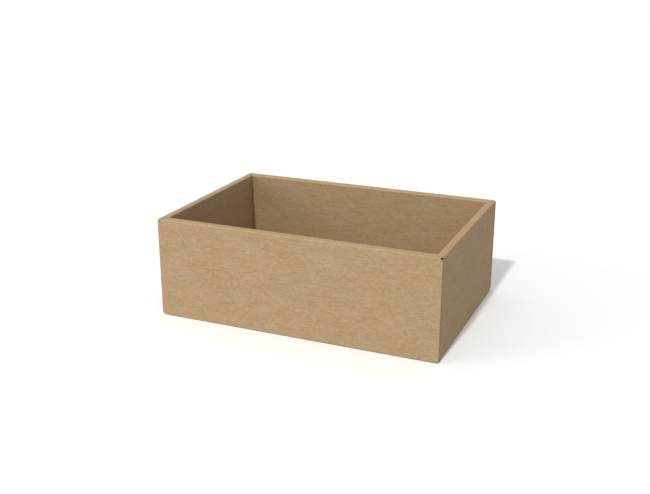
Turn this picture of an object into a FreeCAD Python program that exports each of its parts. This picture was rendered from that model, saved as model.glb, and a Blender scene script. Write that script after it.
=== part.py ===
"""One-piece corrugated tray whose four walls roll over double and lock with tabs in slots of the base.

Millimetres, +Z up. The origin is the middle of the footprint, on the surface that the tray stands on.
X runs along the long walls and Y along the short ones. The tray is one die-cut sheet, so it is one
solid: its layers lie a small gap apart and join only at the folds.
"""
import FreeCAD, Part
import math
import os

from FreeCAD import Vector

# Outside of the folded tray
LENGTH = 308.0
WIDTH = 208.0
HEIGHT = 108.0

# The board and how it folds
BOARD = 3.0
FOLD_RADIUS = 1.5        # outside of a creased fold, whose inside closes to a line
LAYER_GAP = 0.2          # air between two layers, and between a loose edge and the sheet it faces
CUT_GAP = 0.2            # air between two cut edges that meet at a corner
SHORT_WALL_HOLLOW = 2.0  # between the outer and inner panels of a short wall, which hold no flap

# Reliefs at the corners of the blank
BOTTOM_CLIP = 3.0        # legs of the 45 degree clip at the foot of each long outer panel's ends
TOP_HOLE_RADIUS = 1.2    # hole at the top of each corner, where the folds meet

# Corner flaps: they hang on the short walls and are caught inside the long ones
FLAP_LENGTH = 100.0
FLAP_BEVEL = 12.0

# Locking tabs on the foot of each inner panel, and their slots in the base
TABS_PER_WALL = 2
TAB_LENGTH = 36.0
TAB_BEVEL = 1.2
TAB_RECESS = 0.3         # from the tip of a tab up from the underside of the base
SLOT_CLEARANCE = 0.25    # on each side of a tab

# Places that follow from the sizes above
LAYER = BOARD + LAYER_GAP                    # room that one sheet takes beside the next
LONG_WALL = 2 * LAYER + BOARD                # outer panel, flap and inner panel
SHORT_WALL = 2 * BOARD + SHORT_WALL_HOLLOW   # outer and inner panels
RIM_UNDERSIDE = HEIGHT - BOARD


def box(x, y, z):
    """Box between two values on each axis."""
    low, high = (Vector(*corner) for corner in zip(x, y, z))
    return Part.makeBox(*(high - low), low)


def sheet(outline, thickness):
    """Flat sheet: a closed outline of points, thickened along a vector."""
    return Part.Face(Part.makePolygon(outline + outline[:1])).extrude(thickness)


def rounded(solid, *points):
    """The solid with the outsides of its folds rounded: the edges that pass through the points."""
    marks = [Part.Vertex(point) for point in points]
    folds = [edge for edge in solid.Edges if any(edge.distToShape(mark)[0] < 1e-6 for mark in marks)]
    return solid.makeFillet(FOLD_RADIUS, folds)


# Each wall is built with its outside face on y = 0, standing along X and facing -Y. Its span is the
# outside size of the tray along it, its depth its own thickness, and its inset the thickness of the
# walls that it meets.

def outer_panel(length):
    """Outer panel, with the fold at its foot and the strip of base beside that fold."""
    section = [(0, 0), (LAYER, 0), (LAYER, BOARD), (BOARD, BOARD), (BOARD, RIM_UNDERSIDE),
               (0, RIM_UNDERSIDE)]
    panel = sheet([Vector(-length / 2, y, z) for y, z in section], Vector(length, 0, 0))
    return rounded(panel, Vector(0, 0, 0))


def rim_strip(span, depth, inset):
    """Flat top of a wall, mitred at both ends and folded down along both sides."""
    half = span / 2 - CUT_GAP / 2 * math.hypot(depth, inset) / depth
    corners = [(-half, 0), (half, 0), (half - inset, depth), (inset - half, depth)]
    strip = sheet([Vector(x, y, RIM_UNDERSIDE) for x, y in corners], Vector(0, 0, BOARD))
    return rounded(strip, Vector(0, 0, HEIGHT), Vector(0, depth, HEIGHT))


def tab_centres(span, inset):
    """Middles of a wall's tabs, evenly spaced along its inner panel."""
    pitch = (span - 2 * inset) / TABS_PER_WALL
    return [(number - (TABS_PER_WALL - 1) / 2) * pitch for number in range(TABS_PER_WALL)]


def tab(centre, depth):
    """Locking tab with bevelled tip corners, from the foot of an inner panel down into its slot."""
    half = TAB_LENGTH / 2
    profile = [(-half, LAYER), (half, LAYER), (half, TAB_RECESS + TAB_BEVEL),
               (half - TAB_BEVEL, TAB_RECESS), (TAB_BEVEL - half, TAB_RECESS),
               (-half, TAB_RECESS + TAB_BEVEL)]
    return sheet([Vector(centre + x, depth - BOARD, z) for x, z in profile], Vector(0, BOARD, 0))


def inner_panel(span, depth, inset):
    """Inner panel, hanging from the rim strip to just above the base, with its tabs."""
    half = span / 2 - inset - CUT_GAP
    panel = box((-half, half), (depth - BOARD, depth), (LAYER, RIM_UNDERSIDE))
    return panel.multiFuse([tab(centre, depth) for centre in tab_centres(span, inset)])


def slots(span, depth, inset):
    """Slots in the base that take a wall's tabs."""
    half = TAB_LENGTH / 2 + SLOT_CLEARANCE
    width = (depth - BOARD - SLOT_CLEARANCE, depth + SLOT_CLEARANCE)
    return [box((middle - half, middle + half), width, (0, BOARD)) for middle in tab_centres(span, inset)]


def flap(side, half):
    """Corner flap at one end of a short wall's outer panel: side is -1 or 1, half is half that panel."""
    top = RIM_UNDERSIDE - LAYER_GAP
    profile = [(0, LAYER), (FLAP_LENGTH - FLAP_BEVEL, LAYER), (FLAP_LENGTH, LAYER + FLAP_BEVEL),
               (FLAP_LENGTH, top - FLAP_BEVEL), (FLAP_LENGTH - FLAP_BEVEL, top), (0, top)]
    plate = sheet([Vector(side * half, y, z) for y, z in profile], Vector(-side * BOARD, 0, 0))
    return rounded(plate, Vector(side * half, 0, HEIGHT / 2))


def long_wall():
    """Sheets of a long wall. Its outer panel runs the whole length, past the ends of the short walls."""
    panel = outer_panel(LENGTH)
    for side in (-1, 1):
        end = sorted((side * LENGTH / 2, side * (LENGTH / 2 - BOARD)))
        panel = panel.cut(box(end, (0, BOARD), (RIM_UNDERSIDE - LAYER_GAP, RIM_UNDERSIDE)))
        clip = [(0, 0), (BOTTOM_CLIP, 0), (0, BOTTOM_CLIP)]
        foot = [Vector(side * (LENGTH / 2 - x), 0, z) for x, z in clip]
        panel = panel.cut(sheet(foot, Vector(0, LAYER, 0)))
    return [panel, rim_strip(LENGTH, LONG_WALL, SHORT_WALL), inner_panel(LENGTH, LONG_WALL, SHORT_WALL)]


def short_wall():
    """Sheets of a short wall. Its outer panel stands between the long ones and carries two flaps."""
    half = WIDTH / 2 - LAYER
    panel = outer_panel(2 * (half - FOLD_RADIUS))
    return [panel, flap(-1, half), flap(1, half),
            rim_strip(WIDTH, SHORT_WALL, LONG_WALL), inner_panel(WIDTH, SHORT_WALL, LONG_WALL)]


def placed(sheets, across, quarter_turns):
    """A wall's sheets on their side of the tray, whose outside size across that wall is given."""
    moved = [piece.translated(Vector(0, -across / 2, 0)) for piece in sheets]
    return [piece.rotated(Vector(0, 0, 0), Vector(0, 0, 1), 90 * quarter_turns) for piece in moved]


def base():
    """Base between the strips that belong to the walls, with its slots."""
    half_length = LENGTH / 2 - LAYER
    half_width = WIDTH / 2 - LAYER
    plate = box((-half_length, half_length), (-half_width, half_width), (0, BOARD))
    holes = []
    for quarter_turns in (0, 2):
        holes += placed(slots(LENGTH, LONG_WALL, SHORT_WALL), WIDTH, quarter_turns)
        holes += placed(slots(WIDTH, SHORT_WALL, LONG_WALL), LENGTH, quarter_turns + 1)
    return plate.cut(holes)


def top_holes():
    """Relief holes at the top corners, each through the outer layers along the corner's diagonal."""
    holes = []
    for x in (-1, 1):
        for y in (-1, 1):
            inward = Vector(-x, -y, -1)
            start = Vector(x * LENGTH / 2, y * WIDTH / 2, HEIGHT) - inward * TOP_HOLE_RADIUS
            depth = inward.Length * (TOP_HOLE_RADIUS + LAYER)
            holes.append(Part.makeCylinder(TOP_HOLE_RADIUS, depth, start, inward))
    return holes


def tray():
    """The whole folded sheet."""
    walls = []
    for quarter_turns in (0, 2):
        walls += placed(long_wall(), WIDTH, quarter_turns)
        walls += placed(short_wall(), LENGTH, quarter_turns + 1)
    return base().multiFuse(walls).cut(top_holes()).removeSplitter()


os.makedirs("parts", exist_ok=True)
tray().exportStep("parts/tray.step")
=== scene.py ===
import math

import bpy
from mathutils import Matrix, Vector


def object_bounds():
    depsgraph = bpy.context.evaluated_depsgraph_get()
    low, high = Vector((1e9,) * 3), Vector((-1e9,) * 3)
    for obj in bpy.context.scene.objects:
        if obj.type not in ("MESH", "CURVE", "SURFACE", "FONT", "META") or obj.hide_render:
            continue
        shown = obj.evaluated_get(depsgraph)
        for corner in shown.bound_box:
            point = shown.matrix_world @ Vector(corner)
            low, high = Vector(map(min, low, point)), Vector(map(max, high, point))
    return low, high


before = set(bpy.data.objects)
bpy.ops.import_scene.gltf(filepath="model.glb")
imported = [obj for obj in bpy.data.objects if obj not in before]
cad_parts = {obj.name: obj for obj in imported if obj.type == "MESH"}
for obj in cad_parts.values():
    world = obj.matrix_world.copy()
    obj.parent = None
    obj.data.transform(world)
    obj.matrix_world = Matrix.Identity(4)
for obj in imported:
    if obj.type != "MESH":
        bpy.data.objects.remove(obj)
cad_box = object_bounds()


# The kraft liners. The tray is one die-cut sheet of brown corrugated board, rolled over into four double
# walls. Its liners are uncoated kraft paper, flecked and streaked along its fibres, which run level on
# every wall and waver a little. Inside the tray the same paper is painted darker, as painted shade for the
# dimmer light there.

class Value:
    """A value in a finish. Arithmetic on it adds the Math nodes that work it out."""

    def __init__(self, finish, socket):
        self.finish = finish
        self.socket = socket

    def math(self, operation, *others):
        sockets = dict(enumerate((self, *others)))
        return self.finish.node("ShaderNodeMath", {"operation": operation}, sockets)

    def __add__(self, other):
        return self.math("ADD", other)

    def __sub__(self, other):
        return self.math("SUBTRACT", other)

    def __mul__(self, other):
        return self.math("MULTIPLY", other)

    __radd__ = __add__
    __rmul__ = __mul__

    def __rsub__(self, other):
        return self * -1.0 + other

    def between(self, low, high):
        """0 below one value, 1 above another, and a smooth step between them."""
        settings = {"interpolation_type": "SMOOTHSTEP"}
        return self.finish.node("ShaderNodeMapRange", settings, {0: self, 1: low, 2: high})


class Finish:
    """The nodes of a material, or of the world, under construction."""

    def __init__(self, owner):
        owner.use_nodes = True
        self.tree = owner.node_tree
        self.tree.nodes.clear()

    def node(self, kind, settings, sockets, output=0):
        """Add a node: its settings first, then a value or a link for each socket."""
        added = self.tree.nodes.new(kind)
        for name, setting in settings.items():
            setattr(added, name, setting)
        for name, value in sockets.items():
            if isinstance(value, Value):
                self.tree.links.new(value.socket, added.inputs[name])
            else:
                added.inputs[name].default_value = value
        return Value(self, added.outputs[output]) if added.outputs else added

    def vector(self, operation, *sockets):
        return self.node("ShaderNodeVectorMath", {"operation": operation}, dict(enumerate(sockets)))

    def part(self, vector, axis):
        return self.node("ShaderNodeSeparateXYZ", {}, {0: vector}, output=axis)

    def place(self):
        """Where a point is on the tray, in metres."""
        return self.node("ShaderNodeTexCoord", {}, {}, output="Object")

    def drawn_out(self, place, axis, length):
        """A place in which noise comes out so many times longer along one axis."""
        return self.vector("MULTIPLY", place, [1 / length if along == axis else 1.0 for along in range(3)])

    def noise(self, place, size, detail=2.0, shift=0.5, output="Fac"):
        """Cloudy noise about 0.5, in lumps of a size in metres: one of it, or three as a colour.

        The shift tells noises apart. It is never whole, because then the lumps line up on a flat face.
        """
        sockets = {"Vector": place, "W": shift, "Scale": 1.0 / size, "Detail": detail}
        return self.node("ShaderNodeTexNoise", {"noise_dimensions": "4D"}, sockets, output)

    def stirred(self, place, size, distance):
        """A place moved about, by up to a distance, in swirls of a size in metres."""
        return self.vector("MULTIPLY_ADD", self.noise(place, size, output="Color"), [distance] * 3, place)

    def blend(self, share, low, high):
        """A colour between two, or past either where the share is under 0 or over 1."""
        settings = {"data_type": "RGBA", "clamp_factor": False}
        return self.node("ShaderNodeMix", settings, {0: share, 6: low, 7: high}, output=2)

    def tinted(self, colour, tint):
        settings = {"data_type": "RGBA", "blend_type": "MULTIPLY"}
        return self.node("ShaderNodeMix", settings, {0: 1.0, 6: colour, 7: tint}, output=2)

    def varied(self, value, swing):
        """A tint about white: each channel moves by its own swing times a value about 0."""
        low, high = ([1.0 + side * channel for channel in swing] + [1.0] for side in (-0.5, 0.5))
        return self.blend(value + 0.5, low, high)

    def seen(self):
        """1 for the rays that show a thing, straight or in a gloss or through glass, else 0."""
        kinds = ("Is Camera Ray", "Is Glossy Ray", "Is Transmission Ray")
        return sum(self.node("ShaderNodeLightPath", {}, {}, output=kind) for kind in kinds)


KRAFT = (0.493, 0.338, 0.1905)
FLECK = 0.0013                     # across the fibres, as are the hairs and the drifts
HAIR = 0.0004
DRIFT = 0.014
FLECK_DRAWN, STREAK_DRAWN, DRIFT_DRAWN, HAIR_DRAWN = 2.4, 12.0, 2.5, 7.0     # times longer along them
WAVER_SIZE, WAVER = 0.025, 0.005   # swirls that the fibres follow, and how far they stray
STREAKS = (0.6, 0.6, 0.6)          # weight of the streaks in lightness, blueness and pinkness
DRIFTS = (0.3, 0.2, 0.2)           # and of the broad drifts, where a fleck's weight is 1
LIGHTER = (0.405, 0.625, 1.14)     # swing of each channel from deep to light paper
BLUER = (-0.062, -0.050, 0.610)    # from yellow to grey
PINKER = (0.163, -0.095, 0.0)      # from green to pink
UNTINTED = (1.0, 1.0, 1.0, 1.0)
SPECKLE = (1.02, 0.95, 0.84, 1.0)
SPECKLE_FROM, SPECKLE_FULL = 0.14, 0.28      # yellowness at which the speckle starts and is whole
PALE_HAIR = (1.30, 1.42, 1.65, 1.0)
DARK_HAIR = (0.74, 0.66, 0.55, 1.0)
HAIR_FROM, HAIR_FULL, HAIR_SHARE = 0.58, 0.72, 0.6


def kraft_liner(name, fibres, painted_shade):
    """Kraft paper whose fibres lie along an axis, 0 for X or 1 for Y, darkened by a factor as painted
    shade.
    """
    material = bpy.data.materials.new(name)
    finish = Finish(material)
    place = finish.stirred(finish.place(), WAVER_SIZE, WAVER)
    flecks = finish.noise(finish.drawn_out(place, fibres, FLECK_DRAWN), FLECK, detail=5.0, output="Color")
    streaks = finish.noise(finish.drawn_out(place, fibres, STREAK_DRAWN), FLECK, shift=5.5, output="Color")
    drifts = finish.noise(finish.drawn_out(place, fibres, DRIFT_DRAWN), DRIFT, shift=3.5, output="Color")
    fibrous = finish.vector("MULTIPLY_ADD", streaks, STREAKS, flecks)
    fibrous = finish.vector("MULTIPLY_ADD", drifts, DRIFTS, fibrous)
    lightness, blueness, pinkness = (
        finish.part(fibrous, axis) - (1.0 + STREAKS[axis] + DRIFTS[axis]) / 2 for axis in range(3))

    # Painted shade: the kraft colour is darkened by the factor, for the inside of the tray.
    colour = finish.tinted((*(channel * painted_shade for channel in KRAFT), 1.0),
                           finish.varied(lightness, LIGHTER))
    colour = finish.tinted(colour, finish.varied(blueness, BLUER))
    colour = finish.tinted(colour, finish.varied(pinkness, PINKER))
    speckled = (0.0 - blueness).between(SPECKLE_FROM, SPECKLE_FULL)
    colour = finish.tinted(colour, finish.blend(speckled, UNTINTED, SPECKLE))

    hairs = finish.noise(finish.drawn_out(place, fibres, HAIR_DRAWN), HAIR, shift=11.5)
    pale = hairs.between(HAIR_FROM, HAIR_FULL) * HAIR_SHARE
    dark = (1.0 - hairs).between(HAIR_FROM, HAIR_FULL) * HAIR_SHARE
    colour = finish.tinted(colour, finish.blend(pale, UNTINTED, PALE_HAIR))
    colour = finish.tinted(colour, finish.blend(dark, UNTINTED, DARK_HAIR))
    height = lightness + hairs
    normal = finish.node("ShaderNodeBump", {}, {"Strength": 0.5, "Distance": 0.0001, "Height": height})
    surface = finish.node("ShaderNodeBsdfPrincipled", {}, {
        "Base Color": colour, "Roughness": lightness * 0.3 + 0.86, "Specular IOR Level": 0.22,
        "Normal": normal})
    finish.node("ShaderNodeOutputMaterial", {}, {"Surface": surface})
    return material


# The inside liners are the same paper, painted darker by this factor as painted shade for the dimmer light
# inside the tray.
OUTSIDE, INSIDE_PAINTED_SHADE = 1.0, 0.85
liners = [kraft_liner("kraft_outside_long", 0, OUTSIDE), kraft_liner("kraft_outside_short", 1, OUTSIDE),
          kraft_liner("kraft_inside_long_painted_shade", 0, INSIDE_PAINTED_SHADE), kraft_liner("kraft_inside_short_painted_shade", 1, INSIDE_PAINTED_SHADE)]


# The raw edges. Where the sheet is cut, its section shows: a thin liner along each face, and between them
# the fluted paper, cut rough, browner and painted darker as painted shade for the hollows of the flutes.
# They are the ends of the long outer panels, the tips of the tabs, the sides of the slots, and the mitres
# and relief holes at the corners. Inside the relief holes the raw edge is painted much darker still, as
# painted shade.

BOARD = 0.003
LAYER = 0.0032                     # a sheet and the air beside it
LONG_WALL = 0.0094                 # outer panel, corner flap and inner panel
SHORT_WALL = 0.008                 # outer panel, hollow and inner panel
LINER = 0.00035
LINER_BLUR = 0.3                   # how far a liner's border with the fluting blurs, as a share of it
ROUGH = 0.0012                     # lumps of the cut paper, half as deep across the sheet
ROUGH_DRAWN = 0.5
ROUGH_SWING = (0.9, 1.1, 1.4)
# The fluting's colour: browner paper, and darker as painted shade for the hollows between the flutes.
FLUTING_WITH_SHADE = (0.455, 0.298, 0.158, 1.0)
LINER_EDGE = (0.515, 0.365, 0.215, 1.0)
half_length, half_width, height = cad_box[1]
SHEETS = (            # along each axis, how far from the origin the faces of the sheets lie
    [half_length - depth for depth in (0.0, BOARD, SHORT_WALL - BOARD, SHORT_WALL)],
    [half_width - depth for depth in (0.0, BOARD, LAYER, LAYER + BOARD, 2 * LAYER, LONG_WALL)],
    [0.0, BOARD, height - BOARD, height])


def raw_edge(name, across, pitch, painted_shade=1.0):
    """The section of sheets that lie across an axis, a pitch apart from the outside of the tray, darkened
    by a factor as painted shade.
    """
    material = bpy.data.materials.new(name)
    finish = Finish(material)
    place = finish.place()
    reach = finish.part(place, across).math("ABSOLUTE")
    depth = (cad_box[1][across] - reach).math("FLOORED_MODULO", pitch)
    from_middle = (depth - BOARD / 2).math("ABSOLUTE")
    liner = from_middle.between(BOARD / 2 - LINER * (1 + LINER_BLUR), BOARD / 2 - LINER * (1 - LINER_BLUR))
    lumps = finish.drawn_out(place, across, ROUGH_DRAWN)
    rough = finish.noise(lumps, ROUGH, detail=3.0, shift=19.5) - 0.5
    colour = finish.tinted(finish.blend(liner, FLUTING_WITH_SHADE, LINER_EDGE), finish.varied(rough, ROUGH_SWING))
    # Painted shade: the colour is darkened by the factor, which is 0.3 in the relief holes, for the shade
    # deep inside them.
    colour = finish.tinted(colour, (painted_shade, painted_shade, painted_shade, 1.0))
    normal = finish.node("ShaderNodeBump", {}, {
        "Strength": 0.6, "Distance": 0.0003, "Height": rough + liner * 0.5})
    surface = finish.node("ShaderNodeBsdfPrincipled", {}, {
        "Base Color": colour, "Roughness": 0.92, "Specular IOR Level": 0.15, "Normal": normal})
    finish.node("ShaderNodeOutputMaterial", {}, {"Surface": surface})
    return material


# The relief holes take a copy of the raw edge painted at 0.3 of its brightness, as painted shade for their
# deep hollows.
raw_edges = [raw_edge("raw_edge_across_x", 0, SHORT_WALL - BOARD), raw_edge("raw_edge_across_y", 1, LAYER),
             raw_edge("raw_edge_across_z", 2, height - BOARD),
             raw_edge("corner_hole", 2, height - BOARD, painted_shade=0.3)]


# The folded tray. Each face of the sheet takes a liner or a raw edge, by where it is: the broad faces and
# the creased folds are liner, and what is left is cut.

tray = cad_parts["tray"]
FOLD = 0.0015
FOLDS = (             # the middle of each creased fold, as distances along two axes
    (0, 2, half_length - FOLD, FOLD), (0, 2, half_length - FOLD, height - FOLD),
    (0, 2, half_length - SHORT_WALL + FOLD, height - FOLD),
    (1, 2, half_width - FOLD, FOLD), (1, 2, half_width - FOLD, height - FOLD),
    (1, 2, half_width - LONG_WALL + FOLD, height - FOLD),
    (0, 1, half_length - FOLD, half_width - LAYER - FOLD))
CORNER_HOLE = 0.0012
CLOSE = 0.00008
LEVEL = 0.99                       # upright part of the normal of a face that lies flat
SQUARE = 0.9999                    # part of the normal along an axis, of a face that is square to it
SLOT_ROOM = 0.0003                 # a little over the clearance of a tab in its slot
ACROSS_X, ACROSS_Y, ACROSS_Z, HOLE_PAINTED_SHADE = range(len(liners), len(liners) + len(raw_edges))


def broad(place, normal):
    """Whether a face is the broad face of a sheet, and not the raw end of a long outer panel."""
    axis = max(range(3), key=lambda along: abs(normal[along]))
    if abs(normal[axis]) < SQUARE or all(abs(place[axis] - sheet) > CLOSE for sheet in SHEETS[axis]):
        return False
    past_short_wall = axis == 0 and place[0] > half_length - CLOSE and place[1] > half_width - BOARD
    return not (past_short_wall and place[2] < height - BOARD)


def folded(place, outward):
    """Whether a face is part of a creased fold: a fold's radius under it lies the fold's middle."""
    root = place - outward * FOLD
    return any(abs(root[a] - first) < CLOSE and abs(root[b] - second) < CLOSE
               for a, b, first, second in FOLDS)


def in_corner_hole(place):
    """Whether a face is inside a relief hole, which runs along the corner's diagonal."""
    diagonal = Vector((1.0, 1.0, 1.0)).normalized()
    inward = place - Vector(cad_box[1])
    return (inward - diagonal * inward.dot(diagonal)).length < CORNER_HOLE + CLOSE


tray.data.materials.clear()
for material in liners + raw_edges:
    tray.data.materials.append(material)
for face in tray.data.polygons:
    side = Vector([math.copysign(1.0, along) for along in face.center])
    place = face.center * side
    if broad(place, face.normal) or folded(place, face.normal * side):
        x, y, z = place
        on_base = z < BOARD + CLOSE and abs(face.normal.z) > LEVEL
        on_short_wall = x - half_length > y - half_width and not on_base
        past_short_wall = x < half_length - SHORT_WALL + BOARD / 2
        past_long_wall = y < half_width - LONG_WALL + BOARD / 2
        # Faces inside the walls and on the base's top take the darker copy of the liner, which is painted
        # shade.
        inside = past_short_wall and past_long_wall and BOARD - CLOSE < z < height - FOLD
        face.material_index = on_short_wall + 2 * inside
    # Faces in a relief hole take the darkened copy of the raw edge, which is painted shade.
    elif in_corner_hole(place):
        face.material_index = HOLE_PAINTED_SHADE
    elif place.z > height - BOARD:
        face.material_index = ACROSS_Z
    elif place.y > half_width - LONG_WALL - SLOT_ROOM:
        face.material_index = ACROSS_Y
    else:
        face.material_index = ACROSS_X if place.x > half_length - SHORT_WALL - SLOT_ROOM else ACROSS_Z


# The floor. A plain sheet lies under the tray and reaches past the view on every side. It shows white
# and carries the tray's shadow, and it lights the tray as grey paper would.

FLOOR_SIZE = 60.0
GREY = (0.5, 0.5, 0.5, 1.0)
SHOWN_WHITE = (1.14, 1.14, 1.14, 1.0)   # comes out plain white under these lamps
bpy.ops.mesh.primitive_plane_add(size=FLOOR_SIZE)
floor = bpy.context.object
floor.name = "floor"
floor.data.materials.append(bpy.data.materials.new("white_floor"))
paper = Finish(floor.data.materials[0])
grey = paper.node("ShaderNodeBsdfDiffuse", {}, {"Color": GREY})
white = paper.node("ShaderNodeBsdfDiffuse", {}, {"Color": SHOWN_WHITE})
sheet = paper.node("ShaderNodeMixShader", {}, {0: paper.seen(), 1: grey, 2: white})
paper.node("ShaderNodeOutputMaterial", {}, {"Surface": sheet})


# The light. A sun lamp from the front at 45 degrees, a large soft lamp low at the front left, and an
# even pale surround that shows white.

def placed(name, data):
    thing = bpy.data.objects.new(name, data)
    bpy.context.scene.collection.objects.link(thing)
    return thing


sun = placed("sun", bpy.data.lights.new("sun", "SUN"))
sun.data.energy = 1.455
sun.data.color = (1.0, 0.983, 0.953)
sun.data.angle = math.radians(2.7)
sun.rotation_euler = (math.radians(45.3), 0.0, math.radians(-2.7))

softbox = placed("softbox", bpy.data.lights.new("softbox", "AREA"))
softbox.data.shape = "DISK"
softbox.data.size = 1.6
softbox.data.energy = 20.0
softbox.location = (-2.186, -1.834, 0.977)
softbox.rotation_euler = (softbox.location - Vector((0.0, 0.0, 0.05))).to_track_quat("Z", "Y").to_euler()

studio = bpy.data.worlds.new("studio")
bpy.context.scene.world = studio
air = Finish(studio)
pale = air.node("ShaderNodeBackground", {}, {"Color": (0.543, 0.555, 0.577, 1.0)})
backdrop = air.node("ShaderNodeBackground", {}, {"Color": (1.0, 1.0, 1.0, 1.0)})
around = air.node("ShaderNodeMixShader", {}, {0: air.seen(), 1: pale, 2: backdrop})
air.node("ShaderNodeOutputWorld", {}, {"Surface": around})


# The camera. It stands about a metre off, in front of the tray and to its right, and looks down on it by
# 19 degrees. Colours are shown as they are.

camera = placed("camera", bpy.data.cameras.new("camera"))
camera.location = (0.3722, -0.88713, 0.39822)
camera.rotation_euler = (math.radians(90.0 - 19.121), 0.0, math.radians(23.226))
camera.data.sensor_width = 36.0
camera.data.lens = 51.593
bpy.context.scene.camera = camera
bpy.context.scene.view_settings.view_transform = "Standard"
